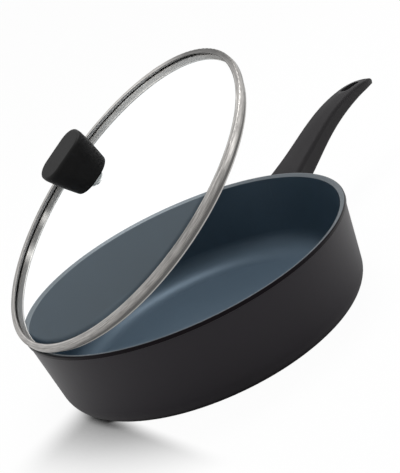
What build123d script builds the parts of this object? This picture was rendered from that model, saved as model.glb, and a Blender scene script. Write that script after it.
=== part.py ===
from build123d import *
from math import atan2, cos, degrees, hypot, radians, sin, sqrt, tan
import os

# Saute pan with a glass lid that is tipped open on the pan's rim
# Millimetres. +Z is up, the origin is the centre of the pan's underside, and the handle points along +X.

# Pan body
rim_radius = 140.0
pan_height = 73.0
lip_height = 3.5
lip_step = 1.0
wall_run_in = 8.4
outer_corner_radius = 19.4
wall_thickness = 3.8
floor_thickness = 5.0
inner_corner_radius = 22.0
ledge_drop = 1.4
ridge_width = 1.8
rim_edge_round = 1.1
ridge_round = 0.5
ledge_round = 0.4
lip_round = 0.8
lip_cove_round = 0.15

# Steel disc pressed into the underside
disc_radius = 104.0
disc_thickness = 0.8
disc_edge_gap = 0.1
disc_hole_radius = 3.0
disc_plain_edge = 8.0
disc_ring_pitch = 18.0
disc_first_ring = 2
holes_per_ring_step = 6

# Handle grip, from inside the wall to its tip
grip_root_bury = 7.0
grip_length = 196.6
grip_root_top = 57.0
grip_rise = 27.1
grip_depth = 24.0
grip_width = 46.0
grip_reach_shares = [0, 0.122, 0.244, 0.371, 0.498, 0.626, 0.753, 0.865, 0.931, 0.969, 0.991, 1]
grip_rise_shares = [0, 0.310, 0.487, 0.675, 0.856, 0.974, 1, 0.945, 0.867, 0.790, 0.694, 0.642]
grip_depth_shares = [1, 1, 0.983, 0.883, 0.775, 0.679, 0.575, 0.458, 0.375, 0.308, 0.225, 0.175]
grip_width_shares = [1, 0.778, 0.657, 0.604, 0.565, 0.537, 0.507, 0.478, 0.430, 0.330, 0.235, 0.185]
grip_keel_share = 0.75
grip_crown_share = 0.04
grip_crown_round_share = 1.5
grip_top_round_share = 0.16
grip_keel_round_share = 0.26
grip_wall_gap = 0.3
hang_hole_from_tip = 31.6
hang_hole_length = 26.0
hang_hole_width = 9.6

# Bracket on the wall and the screw that holds the grip on it
bracket_plate_width = 17.0
bracket_plate_bottom = 40.0
bracket_plate_top = 54.0
bracket_plate_thickness = 2.0
tongue_bury = 2.0
tongue_start_z = 46.6
tongue_slope = 14.9
tongue_length = 42.0
tongue_width = 12.0
tongue_thickness = 7.0
socket_gap = 0.3
grip_screw_along = 29.0
grip_screw_radius = 2.5
grip_screw_head_radius = 4.5
grip_screw_head_height = 3.0
grip_washer_radius = 5.0
grip_washer_thickness = 1.0
grip_web = 2.6
grip_counterbore_gap = 0.5

# Steel band around the lid, measured from the underside of its flange
lid_overlap = 1.2
band_sheet = 0.6
band_height = 5.1
band_lip_width = 5.0
skirt_inset = 3.0
skirt_height = 4.8
skirt_taper = 0.5
bead_width = 1.4
bead_height = 1.2
band_top_round = 1.0
band_edge_round = 0.7
band_fine_round = 0.2
bead_round = 0.5

# Glass dome
glass_thickness = 3.8
glass_seat_gap = 0.05
glass_edge_gap = 0.15
glass_shoulder_inset = 5.6
dome_apex = 32.0
glass_hole_radius = 5.0

# Knob and its hardware
knob_height = 31.5
knob_waist_share = 0.45
knob_base_length = 34.0
knob_base_depth = 31.0
knob_base_round = 15.0
knob_waist_length = 40.5
knob_waist_depth = 31.5
knob_waist_round = 14.0
knob_top_length = 46.0
knob_top_depth = 32.0
knob_top_round = 12.5
knob_top_edge_round = 2.4
knob_base_edge_round = 1.2
knob_gasket_radius = 11.0
knob_gasket_thickness = 1.0
insert_radius = 4.0
insert_length = 12.0
insert_fit_gap = 0.02
insert_groove_depth = 0.5
insert_groove_width = 2.0
thread_fit_gap = 0.05
knob_screw_radius = 2.5
knob_screw_engaged = 10.0
knob_screw_head_radius = 3.8
knob_screw_head_height = 1.6
grommet_radius = 6.6
grommet_flange = 0.6
grommet_collar_gap = 0.2
grommet_collar_short = 0.4
screw_hole_gap = 0.2
washer_radius = 6.2
washer_thickness = 0.8
washer_dish = 0.3
drive_slot_width = 1.1
drive_slot_length = 4.6
drive_slot_depth = 1.0

# Where the lid sits and how far it is tipped open
lid_seat_gap = 0.35
hinge_azimuth = 155.5
hinge_beyond_rim = 2.82
hinge_below_rim = 7.2
lid_open_angle = 29.17
knob_azimuth = 147.0

# Overrun of every cutting tool past the face it cuts
cut_overrun = 1.0

# Sizes that follow from the ones above
wall_top_radius = rim_radius - lip_step
wall_foot_radius = wall_top_radius - wall_run_in
lip_bottom = pan_height - lip_height
grip_root_x = wall_top_radius - grip_root_bury
grip_tip_x = grip_root_x + grip_length
hang_hole_x = grip_tip_x - hang_hole_from_tip
tongue_start_x = wall_top_radius - tongue_bury
ledge_inner_radius = wall_top_radius - wall_thickness
ledge_inner_z = pan_height - ledge_drop
ridge_inner_radius = rim_radius - ridge_width
lid_radius = ledge_inner_radius + lid_overlap
glass_flat_inner_radius = lid_radius - glass_shoulder_inset
skirt_radius = lid_radius - skirt_inset
band_bore_radius = lid_radius - band_sheet
glass_bottom = band_sheet + glass_seat_gap
glass_rim_top = glass_bottom + glass_thickness
band_lip_underside = band_height - band_sheet
glass_radius = band_bore_radius - glass_edge_gap
dome_rise = dome_apex - glass_rim_top
dome_radius = (glass_flat_inner_radius ** 2 + dome_rise ** 2) / (2 * dome_rise)
dome_centre_z = dome_apex - dome_radius
dome_inner_radius = dome_radius - glass_thickness
knob_base_z = dome_apex + knob_gasket_thickness


def wall_radius(z):
    """Radius of the pan's outer wall at a height."""
    return wall_foot_radius + (wall_top_radius - wall_foot_radius) * z / lip_bottom


def ledge_z(radius):
    """Height of the sloping seat inside the rim at a radius."""
    share = (radius - ledge_inner_radius) / (ridge_inner_radius - ledge_inner_radius)
    return ledge_inner_z + share * (pan_height - ledge_inner_z)


def dome_top_z(radius):
    """Height of the glass's upper surface at a radius."""
    return dome_centre_z + sqrt(dome_radius ** 2 - radius ** 2)


def dome_under_z(radius):
    """Height of the glass's lower surface at a radius."""
    return dome_centre_z + sqrt(dome_inner_radius ** 2 - radius ** 2)


def rounded_face(corners):
    """Closed outline from (x, y, rounding) corners, each rounding drawn as a tangent arc."""
    count = len(corners)
    starts = []
    ends = []
    middles = []
    for index, (x, y, rounding) in enumerate(corners):
        before = corners[index - 1]
        after = corners[(index + 1) % count]
        to_before = Vector(before[0] - x, before[1] - y).normalized()
        to_after = Vector(after[0] - x, after[1] - y).normalized()
        corner = Vector(x, y)
        if rounding == 0:
            starts.append(corner)
            ends.append(corner)
            middles.append(None)
            continue
        half_angle = radians(to_before.get_angle(to_after)) / 2
        reach = rounding / tan(half_angle)
        inward = (to_before + to_after).normalized()
        centre = corner + inward * (rounding / sin(half_angle))
        starts.append(corner + to_before * reach)
        ends.append(corner + to_after * reach)
        middles.append(centre - inward * rounding)
    edges = []
    for index in range(count):
        if middles[index] is not None:
            edges.append(ThreePointArc(starts[index], middles[index], ends[index]))
        edges.append(Line(ends[index], starts[(index + 1) % count]))
    return make_face(edges)


def turned(corners):
    """Solid of revolution about the Z axis from (radius, height, rounding) corners."""
    return revolve(Plane.XZ * rounded_face(corners), Axis.Z)


def post(radius, bottom, top):
    """Upright cylinder between two heights."""
    return Pos(0, 0, (bottom + top) / 2) * Cylinder(radius, top - bottom)


def drive_cross(z_face, depth):
    """Cross-shaped tool for the driver recess of a screw head whose face points down."""
    height = depth + cut_overrun
    middle = z_face - cut_overrun + height / 2
    bar = Box(drive_slot_length, drive_slot_width, height)
    return Pos(0, 0, middle) * (bar + Rot(0, 0, 90) * bar)


# Pan

def pan_envelope():
    """The pan's outside as a full solid, with the pocket for the steel disc left closed."""
    return turned([
        (0, 0, 0),
        (wall_foot_radius, 0, outer_corner_radius),
        (wall_top_radius, lip_bottom, lip_cove_round),
        (rim_radius, lip_bottom, lip_round),
        (rim_radius, pan_height, rim_edge_round),
        (0, pan_height, 0),
    ])


def pan_well():
    """The hollow of the pan, up through the sloping seat of the lid."""
    wall_lean = (wall_top_radius - wall_foot_radius) / lip_bottom
    well_foot_radius = ledge_inner_radius - wall_lean * (ledge_inner_z - floor_thickness)
    return turned([
        (0, floor_thickness, 0),
        (well_foot_radius, floor_thickness, inner_corner_radius),
        (ledge_inner_radius, ledge_inner_z, ledge_round),
        (ridge_inner_radius, pan_height, ridge_round),
        (ridge_inner_radius, pan_height + cut_overrun, 0),
        (0, pan_height + cut_overrun, 0),
    ])


def make_pan_body():
    pocket = post(disc_radius + disc_edge_gap, -cut_overrun, disc_thickness)
    return pan_envelope() - pan_well() - pocket


def make_base_disc():
    disc = post(disc_radius, 0, disc_thickness)
    hole = post(disc_hole_radius, -cut_overrun, disc_thickness + cut_overrun)
    last_ring = int((disc_radius - disc_plain_edge) / disc_ring_pitch)
    tools = []
    for ring in range(disc_first_ring, last_ring + 1):
        spots = PolarLocations(ring * disc_ring_pitch, ring * holes_per_ring_step)
        tools += [spot * hole for spot in spots]
    return disc - tools


# Handle

def wall_skin(inner_offset, outer_offset, bottom, top):
    """Ring that follows the pan's outer wall between two offsets and two heights."""
    return turned([
        (wall_radius(bottom) + inner_offset, bottom, 0),
        (wall_radius(bottom) + outer_offset, bottom, 0),
        (wall_radius(top) + outer_offset, top, 0),
        (wall_radius(top) + inner_offset, top, 0),
    ])


def bracket_frame():
    """Plane whose X runs out along the tongue and whose Z is the screw's axis."""
    slope = radians(tongue_slope)
    return Plane(
        origin=(tongue_start_x, 0, tongue_start_z),
        x_dir=(cos(slope), 0, sin(slope)),
        z_dir=(-sin(slope), 0, cos(slope)),
    )


def bracket_shape(gap):
    """Plate against the wall with a tongue, grown by a gap for the socket in the grip."""
    bottom = bracket_plate_bottom - gap
    top = bracket_plate_top + gap
    width = bracket_plate_width + 2 * gap
    skin = wall_skin(0, bracket_plate_thickness + gap, bottom, top)
    window = Pos(wall_radius(top), 0, (bottom + top) / 2) * Box(wall_radius(top), width, 2 * top)
    plate = skin & window
    length = tongue_length + gap
    tongue = Pos(length / 2, 0, 0) * Box(length, tongue_width + 2 * gap, tongue_thickness + 2 * gap)
    return plate + bracket_frame() * tongue


def make_handle_bracket():
    thread = post(grip_screw_radius + thread_fit_gap, -tongue_thickness, tongue_thickness)
    thread = bracket_frame() * Pos(grip_screw_along, 0, 0) * thread
    return bracket_shape(0) - pan_envelope() - thread


def grip_section(index):
    """Cross-section of the grip: crowned top, sloping sides and a narrower keel."""
    x = grip_root_x + grip_reach_shares[index] * (grip_tip_x - grip_root_x)
    top = grip_root_top + grip_rise_shares[index] * grip_rise
    depth = grip_depth_shares[index] * grip_depth
    width = grip_width_shares[index] * grip_width
    keel = width * grip_keel_share
    crown = width * grip_crown_share
    top_round = depth * grip_top_round_share
    keel_round = depth * grip_keel_round_share
    outline = rounded_face([
        (width / 2, top - crown, top_round),
        (0, top, width * grip_crown_round_share),
        (-width / 2, top - crown, top_round),
        (-keel / 2, top - depth, keel_round),
        (keel / 2, top - depth, keel_round),
    ])
    return Plane(origin=(x, 0, 0), x_dir=(0, 1, 0), z_dir=(1, 0, 0)) * outline


def grip_screw_stack():
    """Heights of the grip screw's parts along its own axis, from the tongue's underside down."""
    web_top = -tongue_thickness / 2 - socket_gap
    washer_top = web_top - grip_web
    head_top = washer_top - grip_washer_thickness
    return washer_top, head_top


def make_handle_grip():
    body = loft([grip_section(index) for index in range(len(grip_reach_shares))])
    wall_clear = turned([
        (0, 0, 0),
        (wall_radius(0) + grip_wall_gap, 0, 0),
        (wall_radius(pan_height) + grip_wall_gap, pan_height, 0),
        (0, pan_height, 0),
    ])
    washer_top, head_top = grip_screw_stack()
    bore = post(grip_screw_radius + screw_hole_gap, washer_top - cut_overrun, 0)
    counterbore = post(grip_washer_radius + grip_counterbore_gap, -grip_depth, washer_top)
    screw_room = bracket_frame() * Pos(grip_screw_along, 0, 0) * (bore + counterbore)
    hole_height = grip_depth
    slot = extrude(SlotOverall(hang_hole_length, hang_hole_width), hole_height, both=True)
    slot = Pos(hang_hole_x, 0, grip_root_top + grip_rise) * slot
    body = body - slot
    return body - wall_clear - bracket_shape(socket_gap) - screw_room


def make_grip_screw():
    washer_top, head_top = grip_screw_stack()
    head = post(grip_screw_head_radius, head_top - grip_screw_head_height, head_top)
    shank = post(grip_screw_radius, head_top, tongue_thickness / 2)
    screw = head + shank - drive_cross(head_top - grip_screw_head_height, drive_slot_depth)
    return bracket_frame() * Pos(grip_screw_along, 0, 0) * screw


def make_grip_washer():
    washer_top, head_top = grip_screw_stack()
    ring = post(grip_washer_radius, head_top, washer_top)
    hole = post(grip_screw_radius + screw_hole_gap, head_top - cut_overrun, washer_top + cut_overrun)
    return bracket_frame() * Pos(grip_screw_along, 0, 0) * (ring - hole)


# Lid, drawn shut, with the flange's underside at zero height

def make_lid_band():
    skirt_foot = skirt_radius - skirt_taper
    bead_inner = skirt_foot - bead_width
    lip_inner = lid_radius - band_lip_width
    return turned([
        (lip_inner, band_height, band_fine_round),
        (lid_radius, band_height, band_top_round),
        (lid_radius, 0, band_edge_round),
        (skirt_radius, 0, band_fine_round),
        (skirt_foot, -skirt_height, bead_round),
        (bead_inner, -skirt_height, bead_round),
        (bead_inner, bead_height - skirt_height, bead_round),
        (skirt_foot - band_sheet, bead_height - skirt_height, band_fine_round),
        (skirt_radius - band_sheet, band_sheet, band_fine_round),
        (band_bore_radius, band_sheet, band_fine_round),
        (band_bore_radius, band_lip_underside, band_fine_round),
        (lip_inner, band_lip_underside, band_fine_round),
    ])


def make_lid_glass():
    hole_top = (glass_hole_radius, dome_top_z(glass_hole_radius))
    rise_middle = (glass_hole_radius + glass_flat_inner_radius) / 2
    top_middle = (rise_middle, dome_top_z(rise_middle))
    shoulder_top = (glass_flat_inner_radius, glass_rim_top)
    under_radius = sqrt(dome_inner_radius ** 2 - (glass_bottom - dome_centre_z) ** 2)
    under_middle = (rise_middle, dome_under_z(rise_middle))
    hole_under = (glass_hole_radius, dome_under_z(glass_hole_radius))
    outline = make_face([
        ThreePointArc(hole_top, top_middle, shoulder_top),
        Line(shoulder_top, (glass_radius, glass_rim_top)),
        Line((glass_radius, glass_rim_top), (glass_radius, glass_bottom)),
        Line((glass_radius, glass_bottom), (under_radius, glass_bottom)),
        ThreePointArc((under_radius, glass_bottom), under_middle, hole_under),
        Line(hole_under, hole_top),
    ])
    return revolve(Plane.XZ * outline, Axis.Z)


def make_knob():
    waist = knob_height * knob_waist_share
    body = loft([
        RectangleRounded(knob_base_length, knob_base_depth, knob_base_round),
        Pos(0, 0, waist) * RectangleRounded(knob_waist_length, knob_waist_depth, knob_waist_round),
        Pos(0, 0, knob_height) * RectangleRounded(knob_top_length, knob_top_depth, knob_top_round),
    ])
    body = fillet(body.edges().group_by(Axis.Z)[-1], knob_top_edge_round)
    body = fillet(body.edges().group_by(Axis.Z)[0], knob_base_edge_round)
    body = body - post(insert_radius + insert_fit_gap, -cut_overrun, insert_length + insert_fit_gap)
    return Pos(0, 0, knob_base_z) * Rot(0, 0, knob_azimuth) * body


def make_knob_insert():
    body = post(insert_radius, 0, insert_length)
    body = body - post(knob_screw_radius + thread_fit_gap, -cut_overrun, insert_length + cut_overrun)
    middle = insert_length / 2
    groove_bottom = middle - insert_groove_width / 2
    groove_top = middle + insert_groove_width / 2
    groove = post(insert_radius + cut_overrun, groove_bottom, groove_top)
    groove = groove - post(insert_radius - insert_groove_depth, 0, insert_length)
    return Pos(0, 0, knob_base_z) * (body - groove)


def make_knob_gasket():
    ring = post(knob_gasket_radius, dome_apex, knob_base_z)
    return ring - post(glass_hole_radius, dome_apex - cut_overrun, knob_base_z + cut_overrun)


def underside_stack():
    """Heights below the glass: the grommet's flange top, the washer's top and the screw head's top."""
    flange_top = dome_under_z(grommet_radius)
    washer_top = flange_top - grommet_flange
    head_top = washer_top - washer_thickness
    return flange_top, washer_top, head_top


def make_glass_grommet():
    flange_top, washer_top, head_top = underside_stack()
    collar_top = dome_top_z(glass_hole_radius) - grommet_collar_short
    body = post(grommet_radius, washer_top, flange_top)
    body = body + post(glass_hole_radius - grommet_collar_gap, washer_top, collar_top)
    hole_radius = knob_screw_radius + screw_hole_gap
    return body - post(hole_radius, washer_top - cut_overrun, collar_top + cut_overrun)


def make_knob_washer():
    flange_top, washer_top, head_top = underside_stack()
    body = turned([
        (knob_screw_radius + screw_hole_gap, head_top, 0),
        (washer_radius, head_top + washer_dish, 0),
        (washer_radius, washer_top, 0),
        (knob_screw_radius + screw_hole_gap, washer_top, 0),
    ])
    return body


def make_knob_screw():
    flange_top, washer_top, head_top = underside_stack()
    head = post(knob_screw_head_radius, head_top - knob_screw_head_height, head_top)
    shank = post(knob_screw_radius, head_top, knob_base_z + knob_screw_engaged)
    return head + shank - drive_cross(head_top - knob_screw_head_height, drive_slot_depth)


def tipped_open(shape):
    """Seats a lid piece on the pan's ledge, then turns it about the hinge line to the open pose."""
    seat_z = ledge_z(lid_radius) + lid_seat_gap
    azimuth = radians(hinge_azimuth)
    reach = rim_radius + hinge_beyond_rim
    point = (reach * cos(azimuth), reach * sin(azimuth), pan_height - hinge_below_rim)
    hinge = Axis(point, (-sin(azimuth), cos(azimuth), 0))
    return (Pos(0, 0, seat_z) * shape).rotate(hinge, lid_open_angle)


pieces = {
    "pan_body": make_pan_body(),
    "base_disc": make_base_disc(),
    "handle_bracket": make_handle_bracket(),
    "handle_grip": make_handle_grip(),
    "handle_screw": make_grip_screw(),
    "handle_washer": make_grip_washer(),
    "lid_band": tipped_open(make_lid_band()),
    "lid_glass": tipped_open(make_lid_glass()),
    "lid_knob": tipped_open(make_knob()),
    "knob_insert": tipped_open(make_knob_insert()),
    "knob_gasket": tipped_open(make_knob_gasket()),
    "glass_grommet": tipped_open(make_glass_grommet()),
    "knob_washer": tipped_open(make_knob_washer()),
    "knob_screw": tipped_open(make_knob_screw()),
}

os.makedirs("parts", exist_ok=True)
for name, shape in pieces.items():
    export_step(shape, f"parts/{name}.step")
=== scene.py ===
import math

import bpy
from mathutils import Matrix, Vector


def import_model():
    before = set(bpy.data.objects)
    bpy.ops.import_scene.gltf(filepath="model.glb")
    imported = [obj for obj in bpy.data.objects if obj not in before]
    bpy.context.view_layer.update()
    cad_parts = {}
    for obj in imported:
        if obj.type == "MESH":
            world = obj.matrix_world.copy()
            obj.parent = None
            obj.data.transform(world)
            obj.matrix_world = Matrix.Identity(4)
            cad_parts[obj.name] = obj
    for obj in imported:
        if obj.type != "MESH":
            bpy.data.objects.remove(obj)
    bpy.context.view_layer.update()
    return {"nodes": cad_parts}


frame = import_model()
nodes = frame["nodes"]

# Sizes of the CAD model that the looks follow, in metres. The pan's are heights above the floor,
# the lid's are radii round its axis and heights above the underside of its flange.
PAN_SEAT_FOOT = 0.0715
PAN_LIP_BOTTOM = 0.0695
BAND_RADIUS = 0.1364
BAND_BORE = 0.1358
BAND_FOLD = 0.13425
BAND_LIP_INNER = 0.1314
BAND_TOP = 0.0051
CHANNEL_TOP = 0.00105
SKIRT_DROP = 0.0048
BEAD_HEIGHT = 0.0012
GLASS_RADIUS = 0.13565
GLASS_BOTTOM = 0.00065

# The lid's place in the photograph: azimuth, reach and height of its hinge, its tilt and its seat
HINGE_AZIMUTH = math.radians(155.5)
HINGE_REACH = 0.14282
HINGE_HEIGHT = 0.0658
LID_TILT = math.radians(29.17)
LID_SEAT = 0.07251

# Camera of the photograph, from a fit to the rim and wall: its place in metres and its directions
CAMERA_PLACE = (-0.739032, -0.754823, 0.447114)
CAMERA_RIGHT = (0.536915, -0.743254, -0.399118)
CAMERA_UP = (0.506524, -0.094320, 0.857051)
CAMERA_BACK = (-0.674651, -0.662327, 0.325836)
FOCAL_PIXELS = 1400.0
IMAGE_LONG_SIDE = 473.0
SENSOR_MM = 36.0
CAMERA_NEAR = 0.01

# Lamps: name, place, size and watts, all aimed at one point in the pan
LAMP_TARGET = (0.0, 0.0, 0.05)
LAMPS = (
    ("top_softbox", (0.38, 0.10, 1.35), (0.6, 0.6), 13.0),
    ("left_strip", (-1.1, 0.75, 0.5), (0.3, 0.9), 3.0),
    ("right_strip", (0.75, -1.2, 0.5), (0.3, 0.9), 3.0),
)
WORLD_LEVEL = 0.30

# Floor, and the shadow on it: how far the pan shades it, and the straight line that ends the shade
FLOOR_HALF = 6.0
FLOOR_GLOW = 0.97
FLOOR_PAPER = ((0.90, 0.90, 0.90), (0.91, 0.91, 0.91))
SHADE_REACH = 0.085
SHADE_SAMPLES = 16
SHADE_CUT_NORMAL = (1.0, -0.345, 0.0)

# Colours of the pan's coats, with painted light and shade on the inner wall, inner floor, seat and lip:
# darker and lighter end of the clouds, or one colour
OUTER_COAT = ((0.0116, 0.0093, 0.0127), (0.0150, 0.0124, 0.0165))
OUTER_FLECK = (0.035, 0.031, 0.034)
INNER_WALL_SHADED = ((0.019, 0.034, 0.050), (0.023, 0.041, 0.060))
INNER_FLOOR_LIT = ((0.054, 0.082, 0.111), (0.062, 0.092, 0.123))
INNER_FLECK = (0.09, 0.12, 0.15)
SEAT_PAINTED_LIGHT = (0.082, 0.096, 0.108)
LIP_PAINTED_SHADE = (0.0085, 0.0070, 0.0082)
COAT_SPECULAR = 0.235

# Colours of the other pieces, darker and lighter end
HANDLE_PLASTIC = ((0.0125, 0.0115, 0.0126), (0.0160, 0.0148, 0.0160))
KNOB_PLASTIC = ((0.0070, 0.0070, 0.0071), (0.0095, 0.0095, 0.0097))
WORN_PLASTIC = (0.05, 0.05, 0.052)
PLASTIC_SPECULAR = 0.10
BAND_STEEL = ((0.62, 0.594, 0.569), (1.30, 1.26, 1.21))
BAND_STEEL_PLAIN = (0.97, 0.95, 0.925)
BAND_STEEL_BROAD = (0.98, 0.950, 0.915)
LOW_SIDE_GREY = (0.62, 0.62, 0.62)
# Painted shade for the band's fold
FOLD_PAINTED_SHADE = (0.030, 0.030, 0.030)
# Painted highlight for the band's bead
BEAD_PAINTED_HIGHLIGHT = (0.60, 0.60, 0.60)
GLASS_TINT = ((0.972, 0.976, 0.974), (0.984, 0.988, 0.986))
GLASS_PASS = (0.978, 0.982, 0.980)
GLASS_FOOT = (0.025, 0.025, 0.024)
# Painted reflection: an even glow on the glass stands for the studio it mirrors
PAINTED_GLASS_REFLECTION = (0.79, 0.914, 1.0)
GLASS_REFLECTION_STRENGTH = 0.045
GLASS_IOR = 1.0005
NOTHING = (0.0, 0.0, 0.0)
DISC_STEEL = ((0.36, 0.35, 0.34), (0.56, 0.55, 0.53))
BRACKET_STEEL = ((0.34, 0.34, 0.34), (0.46, 0.46, 0.45))
PLATED_STEEL = ((0.58, 0.58, 0.58), (0.74, 0.74, 0.73))
WASHER_STEEL = ((0.60, 0.60, 0.595), (0.72, 0.72, 0.71))
INSERT_BRASS = ((0.50, 0.36, 0.14), (0.66, 0.50, 0.24))
GASKET_RUBBER = ((0.012, 0.012, 0.012), (0.020, 0.020, 0.020))
GROMMET_SILICONE = ((0.66, 0.66, 0.64), (0.74, 0.74, 0.72))

# Scales of the noise textures, in waves per metre
COAT_CLOUDS = 14.0
COAT_FLECKS = 2600.0
COAT_GRAIN = 1500.0
COAT_WAVES = 160.0
PLASTIC_CLOUDS = 40.0
PLASTIC_GRAIN = 3200.0
BAND_LINES = 1100.0
BAND_BROAD = 160.0
GLASS_FLOW = 18.0
DISC_RINGS = 1600.0
METAL_GRAIN = 900.0
RUBBER_GRAIN = 500.0
FLOOR_CLOUDS = 3.0

# Depths of the bumps, in metres
FINE_BUMP = 0.0001
GRAIN_BUMP = 0.0002
WAVE_BUMP = 0.001


def lid_frame():
    """Centre of the lid's flange underside and the lid's axis, at rest."""
    outward = Vector((math.cos(HINGE_AZIMUTH), math.sin(HINGE_AZIMUTH), 0))
    tangent = Vector((-math.sin(HINGE_AZIMUTH), math.cos(HINGE_AZIMUTH), 0))
    turn = Matrix.Rotation(LID_TILT, 4, tangent)
    pivot = outward * HINGE_REACH + Vector((0, 0, HINGE_HEIGHT))
    centre = turn @ (Vector((0, 0, LID_SEAT)) - pivot) + pivot
    return centre, (turn @ Vector((0, 0, 1))).normalized(), tangent


LID_CENTRE, LID_AXIS, LID_TANGENT = lid_frame()


def around_lid(*stops):
    """Places round the lid in degrees, as shares of a turn, with their grey levels."""
    return [((degrees + 180) / 360, level) for degrees, level in stops]


# Painted reflections: grey levels of the steel round the lid stand for the studio mirrored in each of
# its faces, and the skirt's and rim's peaks are painted glints
LIP_REFLECTION_GREYS = around_lid(
    (-180, 0.34), (-135, 0.30), (-90, 0.34), (-60, 0.52), (-35, 0.50), (-14, 0.12), (8, 0.09),
    (25, 0.22), (45, 0.42), (70, 0.32), (110, 0.29), (150, 0.32), (180, 0.34))
SIDE_REFLECTION_GREYS = around_lid(
    (-180, 0.36), (28, 0.30), (45, 0.50), (62, 0.42), (82, 0.30), (150, 0.33), (180, 0.36))
SKIRT_REFLECTION_GREYS = around_lid(
    (-180, 0.20), (-150, 0.17), (-126, 0.19), (-121, 0.65), (-116, 0.19), (-109, 0.19),
    (-105, 0.75), (-101, 0.20), (-80, 0.26), (-60, 0.80), (-40, 0.95), (-18, 0.55), (8, 0.34),
    (60, 0.12), (180, 0.20))
RIM_REFLECTION_GREYS = around_lid(
    (-180, 0.40), (-150, 0.38), (-120, 0.42), (-90, 0.48), (-60, 0.85), (-35, 0.80), (-15, 0.42),
    (10, 0.38), (60, 0.38), (180, 0.40))


def with_alpha(value):
    """A colour as the sockets take it. A linked socket passes unchanged."""
    return value if isinstance(value, bpy.types.NodeSocket) else tuple(value) + (1,)


class Nodes:
    """A node tree with short calls for the nodes used here."""

    def __init__(self, tree):
        self.tree = tree
        tree.nodes.clear()

    def add(self, kind, **values):
        node = self.tree.nodes.new(kind)
        for key, value in values.items():
            setattr(node, key, value)
        return node

    def feed(self, socket, value):
        if isinstance(value, bpy.types.NodeSocket):
            self.tree.links.new(value, socket)
        else:
            socket.default_value = value

    def place(self):
        """The point in the part's own frame."""
        return self.add("ShaderNodeTexCoord").outputs["Object"]

    def math(self, operation, a, b=0.0, clamp=False):
        node = self.add("ShaderNodeMath", operation=operation, use_clamp=clamp)
        self.feed(node.inputs[0], a)
        self.feed(node.inputs[1], b)
        return node.outputs[0]

    def product(self, first, *others):
        for other in others:
            first = self.math("MULTIPLY", first, other)
        return first

    def highest(self, first, *others):
        for other in others:
            first = self.math("MAXIMUM", first, other)
        return first

    def vector(self, operation, a, b=(0, 0, 0), scale=None):
        node = self.add("ShaderNodeVectorMath", operation=operation)
        self.feed(node.inputs[0], a)
        if operation != "LENGTH":
            self.feed(node.inputs[1], b)
        if scale is not None:
            self.feed(node.inputs["Scale"], scale)
        return node.outputs["Value" if operation in ("LENGTH", "DOT_PRODUCT") else "Vector"]

    def split(self, vector):
        node = self.add("ShaderNodeSeparateXYZ")
        self.feed(node.inputs[0], vector)
        return node.outputs

    def join(self, x, y, z):
        node = self.add("ShaderNodeCombineXYZ")
        for socket, value in zip(node.inputs, (x, y, z)):
            self.feed(socket, value)
        return node.outputs[0]

    def noise(self, vector, scale, detail=2.0, rough=0.5):
        node = self.add("ShaderNodeTexNoise")
        self.feed(node.inputs["Vector"], vector)
        node.inputs["Scale"].default_value = scale
        node.inputs["Detail"].default_value = detail
        node.inputs["Roughness"].default_value = rough
        return node.outputs["Fac"]

    def ring_noise(self, radius, height, angle, stretch, scale, detail=2.0, rough=0.5):
        """Noise drawn out into lines that run round an axis, more so for a small stretch."""
        return self.noise(self.join(radius, height, self.product(angle, stretch)), scale, detail, rough)

    def between(self, value, low, high, to_low=0.0, to_high=1.0):
        """Smooth step from to_low at low to to_high at high, where low may be the greater."""
        node = self.add("ShaderNodeMapRange")
        node.interpolation_type = "SMOOTHSTEP"
        self.feed(node.inputs["Value"], value)
        node.inputs["From Min"].default_value = low
        node.inputs["From Max"].default_value = high
        node.inputs["To Min"].default_value = to_low
        node.inputs["To Max"].default_value = to_high
        return node.outputs["Result"]

    def mix(self, share, a, b, blend="MIX"):
        node = self.add("ShaderNodeMix", data_type="RGBA", blend_type=blend)
        self.feed(node.inputs["Factor"], share)
        self.feed(node.inputs["A"], with_alpha(a))
        self.feed(node.inputs["B"], with_alpha(b))
        return node.outputs["Result"]

    def ramp(self, value, stops):
        """Grey level that follows a list of places and levels, both from 0 to 1."""
        node = self.add("ShaderNodeValToRGB")
        self.feed(node.inputs["Fac"], value)
        points = node.color_ramp.elements
        points.remove(points[1])
        for number, (spot, level) in enumerate(stops):
            point = points[0] if number == 0 else points.new(spot)
            point.position = spot
            point.color = (level, level, level, 1)
        return node.outputs["Color"]

    def bump(self, height, strength, distance, before=None):
        node = self.add("ShaderNodeBump")
        node.inputs["Strength"].default_value = strength
        node.inputs["Distance"].default_value = distance
        self.feed(node.inputs["Height"], height)
        if before is not None:
            self.feed(node.inputs["Normal"], before)
        return node.outputs["Normal"]

    def shown_white(self, path):
        """1 for camera rays, reflections and straight looks through the glass, otherwise 0."""
        through = self.math("GREATER_THAN", path.outputs["Is Transmission Ray"],
                            path.outputs["Diffuse Depth"])
        return self.highest(path.outputs["Is Camera Ray"], path.outputs["Is Glossy Ray"], through)


class Surface(Nodes):
    """A material with one principled shader."""

    SOCKETS = {"colour": "Base Color", "rough": "Roughness", "metal": "Metallic", "normal": "Normal",
               "specular": "Specular IOR Level", "ior": "IOR", "clear": "Transmission Weight",
               "glow": "Emission Color", "glow_strength": "Emission Strength"}

    def __init__(self, name):
        self.material = bpy.data.materials.new(name)
        self.material.use_nodes = True
        super().__init__(self.material.node_tree)
        self.output = self.add("ShaderNodeOutputMaterial")
        self.shader = self.add("ShaderNodeBsdfPrincipled")
        self.feed(self.output.inputs[0], self.shader.outputs[0])

    def set(self, **values):
        for key, value in values.items():
            self.feed(self.shader.inputs[self.SOCKETS[key]], value)

    def mix_in(self, share, shader):
        """Mixes a second shader with the principled one by this share."""
        mixer = self.add("ShaderNodeMixShader")
        self.feed(mixer.inputs[0], share)
        self.feed(mixer.inputs[1], self.shader.outputs[0])
        self.feed(mixer.inputs[2], shader.outputs[0])
        self.feed(self.output.inputs[0], mixer.outputs[0])


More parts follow.
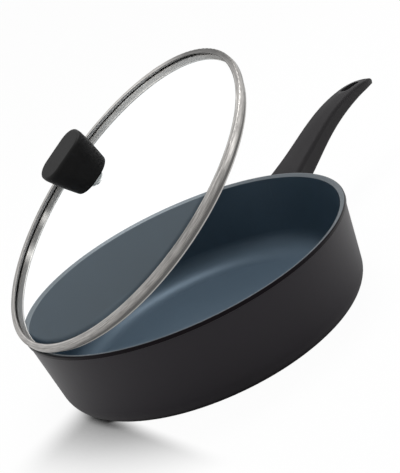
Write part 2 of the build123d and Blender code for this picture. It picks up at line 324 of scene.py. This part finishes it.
def pan_coat():
    """Dark sprayed coat outside, blue-grey ceramic coat inside; the inner floor and the seat around the
    rim are painted lighter as lit, the inner wall and the lip's outer face painted darker as shaded.
    """
    n = Surface("pan_coat")
    place = n.place()
    x, y, z = n.split(place)
    facing = n.add("ShaderNodeTexCoord").outputs["Normal"]
    outward = n.vector("DOT_PRODUCT", facing, n.vector("NORMALIZE", n.join(x, y, 0.0)))
    upward = n.split(facing)[2]
    inside = n.between(n.math("SUBTRACT", upward, outward), -0.3, 0.3)
    seat_high = n.between(z, PAN_SEAT_FOOT - 0.0003, PAN_SEAT_FOOT + 0.0001)
    seat = n.product(seat_high, n.between(outward, 0.45, 0.15))
    lip_high = n.between(z, PAN_LIP_BOTTOM + 0.0002, PAN_LIP_BOTTOM + 0.0007)
    lip_face = n.product(lip_high, n.between(outward, 0.15, 0.45))
    cloud = n.noise(place, COAT_CLOUDS, 3.0)
    fleck = n.noise(place, COAT_FLECKS)
    outer = n.mix(cloud, *OUTER_COAT)
    outer = n.mix(n.between(fleck, 0.62, 0.74, 0.0, 0.18), outer, OUTER_FLECK)
    flat = n.between(upward, 0.40, 0.98)
    # Painted light and shade: the inner floor is painted lighter and the inner wall darker, lit and
    # shaded copies of one coat
    inner = n.mix(flat, n.mix(cloud, *INNER_WALL_SHADED), n.mix(cloud, *INNER_FLOOR_LIT))
    inner = n.mix(n.between(fleck, 0.62, 0.72, 0.0, 0.05), inner, INNER_FLECK)
    colour = n.mix(inside, outer, inner)
    # Painted light: the seat around the rim is the inner coat painted lighter, as lit
    colour = n.mix(seat, colour, SEAT_PAINTED_LIGHT)
    # Painted shade: the lip's outer face is painted near black, as in shade
    colour = n.mix(lip_face, colour, LIP_PAINTED_SHADE)
    metal = n.highest(n.product(inside, 0.30), lip_face)
    rough = n.math("ADD", n.between(inside, 0.0, 1.0, 0.38, 0.37), n.product(cloud, 0.10))
    normal = n.bump(n.noise(place, COAT_GRAIN), 0.08, GRAIN_BUMP)
    normal = n.bump(n.noise(place, COAT_WAVES), 0.04, WAVE_BUMP, normal)
    n.set(colour=colour, rough=rough, metal=metal, normal=normal, specular=COAT_SPECULAR)
    return n.material


def moulded(name, colours, rough):
    """Moulded thermoset: fine grain, faint mottling and slightly polished edges."""
    n = Surface(name)
    place = n.place()
    cloud = n.noise(place, PLASTIC_CLOUDS, 4.0)
    grain = n.noise(place, PLASTIC_GRAIN, 3.0)
    worn = n.between(n.add("ShaderNodeNewGeometry").outputs["Pointiness"], 0.52, 0.60)
    colour = n.mix(n.product(worn, 0.25), n.mix(cloud, *colours), WORN_PLASTIC)
    level = n.math("SUBTRACT", n.math("ADD", rough, n.product(cloud, 0.12)), n.product(worn, 0.1))
    n.set(colour=colour, rough=level, normal=n.bump(grain, 0.14, GRAIN_BUMP),
          specular=PLASTIC_SPECULAR)
    return n.material


def lid_place(n):
    """Radius, height and angle of a point in the lid's own frame, and its share of a turn."""
    arm = n.vector("SUBTRACT", n.place(), tuple(LID_CENTRE))
    height = n.vector("DOT_PRODUCT", arm, tuple(LID_AXIS))
    a = n.vector("DOT_PRODUCT", arm, tuple(LID_TANGENT))
    b = n.vector("DOT_PRODUCT", arm, tuple(LID_AXIS.cross(LID_TANGENT)))
    radius = n.math("SQRT", n.math("ADD", n.product(a, a), n.product(b, b)))
    angle = n.math("ARCTAN2", a, b)
    turn = n.math("ADD", n.math("DIVIDE", angle, 2 * math.pi), 0.5)
    return radius, height, angle, turn


def rolled_steel():
    """Stainless band: fine lines run around it; its grey levels round the lid are painted reflections
    with painted glints, the fold is painted dark as shade and the bead gets a painted highlight.
    """
    n = Surface("rolled_steel")
    radius, height, angle, turn = lid_place(n)
    lines = n.ring_noise(radius, height, angle, 0.010, BAND_LINES, 3.0, 0.6)
    broad = n.ring_noise(radius, height, angle, 0.05, BAND_BROAD)
    skirt_reflection_greys = n.ramp(turn, SKIRT_REFLECTION_GREYS)

    # Lip and side, darker low on the side, with a painted highlight along the lip's inner part and a
    # painted shade line at its very inner edge
    side = n.between(radius, BAND_RADIUS - 0.0004, BAND_RADIUS - 0.0001)
    tone = n.mix(side, n.ramp(turn, LIP_REFLECTION_GREYS), n.ramp(turn, SIDE_REFLECTION_GREYS))
    low_side = n.product(side, n.between(height, 0.0030, 0.0008))
    tone = n.mix(low_side, tone, LOW_SIDE_GREY, "MULTIPLY")
    top = n.between(height, BAND_TOP - 0.0004, BAND_TOP - 0.0001)
    lip_highlight_and_shade = n.product(n.between(radius, BAND_LIP_INNER + 0.0018, BAND_LIP_INNER + 0.0010, 1.0, 1.45),
                      n.between(radius, BAND_LIP_INNER + 0.0007, BAND_LIP_INNER + 0.0004, 1.0, 0.4))
    tone = n.mix(top, tone, n.vector("SCALE", tone, scale=lip_highlight_and_shade))

    # Channel that holds the glass, its fold painted dark as shade, the skirt below it and the skirt's
    # bead with a painted highlight
    channel = n.product(n.between(height, CHANNEL_TOP + 0.00015, CHANNEL_TOP - 0.00015),
                        n.between(radius, BAND_BORE + 0.0001, BAND_BORE - 0.00005))
    tone = n.mix(channel, tone, skirt_reflection_greys)
    fold = n.product(channel, n.between(radius, BAND_FOLD - 0.00015, BAND_FOLD + 0.00015))
    tone = n.mix(fold, tone, FOLD_PAINTED_SHADE)
    below = n.between(height, -0.0002, -0.0006)
    tone = n.mix(below, tone, skirt_reflection_greys)
    bead_top = BEAD_HEIGHT - SKIRT_DROP
    bead = n.between(height, bead_top + 0.0002, bead_top - 0.0002)
    # Painted highlight along the skirt's bead
    tone = n.mix(n.product(bead, 0.8), tone, BEAD_PAINTED_HIGHLIGHT)

    steel = n.mix(n.between(lines, 0.3, 0.7), *BAND_STEEL)
    steel = n.mix(n.product(below, 0.75), steel, BAND_STEEL_PLAIN)
    steel = n.mix(n.between(broad, 0.35, 0.65, 0.0, 0.4), steel, BAND_STEEL_BROAD)
    rolled_edge = n.product(n.between(height, BAND_TOP - 0.0011, BAND_TOP - 0.0008),
                            n.between(radius, BAND_RADIUS - 0.0011, BAND_RADIUS - 0.0008))
    soft = n.highest(rolled_edge, below, channel)
    rough = n.math("ADD", n.between(soft, 0.0, 1.0, 0.24, 0.46), n.product(lines, 0.16))
    n.set(colour=n.mix(1.0, tone, steel, "MULTIPLY"), metal=1.0, rough=rough,
          normal=n.bump(lines, 0.04, FINE_BUMP))
    return n.material


def clear_glass():
    """Tempered glass with a ground grey edge painted with reflection greys; a faint even glow is a
    painted reflection of the studio.
    """
    n = Surface("clear_glass")
    radius, height, angle, turn = lid_place(n)
    tint = n.mix(n.ring_noise(radius, height, angle, 0.1, GLASS_FLOW), *GLASS_TINT)
    edge = n.between(radius, GLASS_RADIUS - 0.0004, GLASS_RADIUS - 0.0002)
    foot = n.between(height, GLASS_BOTTOM + 0.0006, GLASS_BOTTOM + 0.0002)
    # Painted reflections: the ground edge's grey levels round the lid, darker at its foot
    ground = n.mix(foot, n.ramp(turn, RIM_REFLECTION_GREYS), GLASS_FOOT)
    # Painted reflection: the glass glows faintly, fading out near its rim
    painted_reflection = n.mix(n.between(radius, 0.1265, 0.1300), PAINTED_GLASS_REFLECTION, NOTHING)
    n.set(colour=n.mix(edge, tint, ground), metal=edge, rough=n.product(edge, 0.7), ior=GLASS_IOR,
          clear=1.0, glow=painted_reflection, glow_strength=GLASS_REFLECTION_STRENGTH)

    # Light and grazing looks pass straight through
    grazing = n.between(n.add("ShaderNodeLayerWeight").outputs["Facing"], 0.78, 0.86)
    pass_light = n.add("ShaderNodeBsdfTransparent")
    pass_light.inputs["Color"].default_value = with_alpha(GLASS_PASS)
    path = n.add("ShaderNodeLightPath")
    n.mix_in(n.highest(path.outputs["Is Shadow Ray"], grazing), pass_light)
    return n.material


def turned_steel(name, colours, rough):
    """Machined metal with rings about the vertical through the part's origin."""
    n = Surface(name)
    x, y, z = n.split(n.place())
    radius = n.vector("LENGTH", n.join(x, y, 0.0))
    lines = n.ring_noise(radius, z, n.math("ARCTAN2", x, y), 0.004, DISC_RINGS, 3.0, 0.6)
    n.set(colour=n.mix(lines, *colours), metal=1.0,
          rough=n.math("ADD", rough, n.product(lines, 0.15)), normal=n.bump(lines, 0.15, FINE_BUMP))
    return n.material


def plain_metal(name, colours, rough):
    """Metal with an even fine grain."""
    n = Surface(name)
    grain = n.noise(n.place(), METAL_GRAIN, 3.0, 0.6)
    n.set(colour=n.mix(grain, *colours), metal=1.0,
          rough=n.math("ADD", rough, n.product(grain, 0.14)), normal=n.bump(grain, 0.1, FINE_BUMP))
    return n.material


def soft_rubber(name, colours, rough):
    """Rubber or silicone with a soft mottled skin."""
    n = Surface(name)
    cloud = n.noise(n.place(), RUBBER_GRAIN, 3.0)
    n.set(colour=n.mix(cloud, *colours), rough=n.math("ADD", rough, n.product(cloud, 0.1)),
          normal=n.bump(cloud, 0.1, FINE_BUMP))
    return n.material


def put(material, *names):
    """Gives CAD nodes this material."""
    for name in names:
        mesh = nodes[name].data
        mesh.materials.clear()
        mesh.materials.append(material)


def floor():
    """Pale floor that shows white, apart from the soft shadow to one side of the pan."""
    half = FLOOR_HALF
    corners = [(-half, -half, 0), (half, -half, 0), (half, half, 0), (-half, half, 0)]
    mesh = bpy.data.meshes.new("studio_floor")
    mesh.from_pydata(corners, [], [(0, 1, 2, 3)])
    piece = bpy.data.objects.new("studio_floor", mesh)
    bpy.context.scene.collection.objects.link(piece)
    n = Surface("studio_floor")
    place = n.place()
    x, y, _ = n.split(place)
    n.set(colour=n.mix(n.noise(place, FLOOR_CLOUDS), *FLOOR_PAPER), rough=0.7, specular=0.2)

    # The shade that the camera sees lies beside the pan; reflections see it all round the pan
    path = n.add("ShaderNodeLightPath")
    across = n.vector("DOT_PRODUCT", place, SHADE_CUT_NORMAL)
    beside = n.highest(n.between(across, -0.1170, -0.1330), n.between(y, 0.0, 0.03))
    beside = n.product(beside, n.between(y, 0.092, 0.046), n.between(x, 0.0, -0.06))
    beside = n.highest(beside, path.outputs["Is Glossy Ray"])
    fade = n.between(x, -0.200, -0.135, 0.7, 1.28)
    nearby = n.add("ShaderNodeAmbientOcclusion", samples=SHADE_SAMPLES)
    nearby.inputs["Distance"].default_value = SHADE_REACH
    shade = n.product(n.math("SUBTRACT", 1.0, nearby.outputs["AO"]), fade, beside)
    glow = n.add("ShaderNodeEmission")
    n.feed(glow.inputs["Strength"], n.math("SUBTRACT", 1.0, shade, clamp=True))
    n.mix_in(n.product(n.shown_white(path), FLOOR_GLOW), glow)
    mesh.materials.append(n.material)


def world():
    """White for the camera, in reflections and through the glass, and dimmer as a light."""
    scene_world = bpy.data.worlds.new("studio")
    bpy.context.scene.world = scene_world
    scene_world.use_nodes = True
    n = Nodes(scene_world.node_tree)
    background = n.add("ShaderNodeBackground")
    background.inputs["Color"].default_value = (1, 1, 1, 1)
    seen = n.shown_white(n.add("ShaderNodeLightPath"))
    n.feed(background.inputs["Strength"], n.between(seen, 0.0, 1.0, WORLD_LEVEL, 1.0))
    n.feed(n.add("ShaderNodeOutputWorld").inputs[0], background.outputs[0])


def lamp(name, place, size, watts):
    data = bpy.data.lights.new(name, "AREA")
    data.shape = "RECTANGLE"
    data.size, data.size_y = size
    data.energy = watts
    piece = bpy.data.objects.new(name, data)
    bpy.context.scene.collection.objects.link(piece)
    piece.visible_transmission = False
    piece.location = place
    piece.rotation_euler = (Vector(LAMP_TARGET) - Vector(place)).to_track_quat("-Z", "Y").to_euler()


def camera():
    data = bpy.data.cameras.new("camera")
    data.sensor_width = SENSOR_MM
    data.lens = FOCAL_PIXELS * SENSOR_MM / IMAGE_LONG_SIDE
    data.clip_start = CAMERA_NEAR
    piece = bpy.data.objects.new("camera", data)
    bpy.context.scene.collection.objects.link(piece)
    columns = (Vector(CAMERA_RIGHT), Vector(CAMERA_UP), Vector(CAMERA_BACK))
    turn = Matrix(columns).transposed().to_4x4()
    piece.matrix_world = Matrix.Translation(CAMERA_PLACE) @ turn
    bpy.context.scene.camera = piece


put(pan_coat(), "pan_body")
put(moulded("handle_moulding", HANDLE_PLASTIC, 0.50), "handle_grip")
put(moulded("knob_moulding", KNOB_PLASTIC, 0.48), "lid_knob")
put(rolled_steel(), "lid_band")
put(clear_glass(), "lid_glass")
put(turned_steel("disc_steel", DISC_STEEL, 0.25), "base_disc")
put(plain_metal("bracket_steel", BRACKET_STEEL, 0.3), "handle_bracket")
put(plain_metal("plated_steel", PLATED_STEEL, 0.20), "handle_screw", "handle_washer", "knob_screw")
put(plain_metal("washer_steel", WASHER_STEEL, 0.30), "knob_washer")
put(plain_metal("insert_brass", INSERT_BRASS, 0.25), "knob_insert")
put(soft_rubber("gasket_rubber", GASKET_RUBBER, 0.6), "knob_gasket")
put(soft_rubber("grommet_silicone", GROMMET_SILICONE, 0.5), "glass_grommet")

floor()
world()
for values in LAMPS:
    lamp(*values)
camera()

view = bpy.context.scene.view_settings
view.view_transform = "Standard"
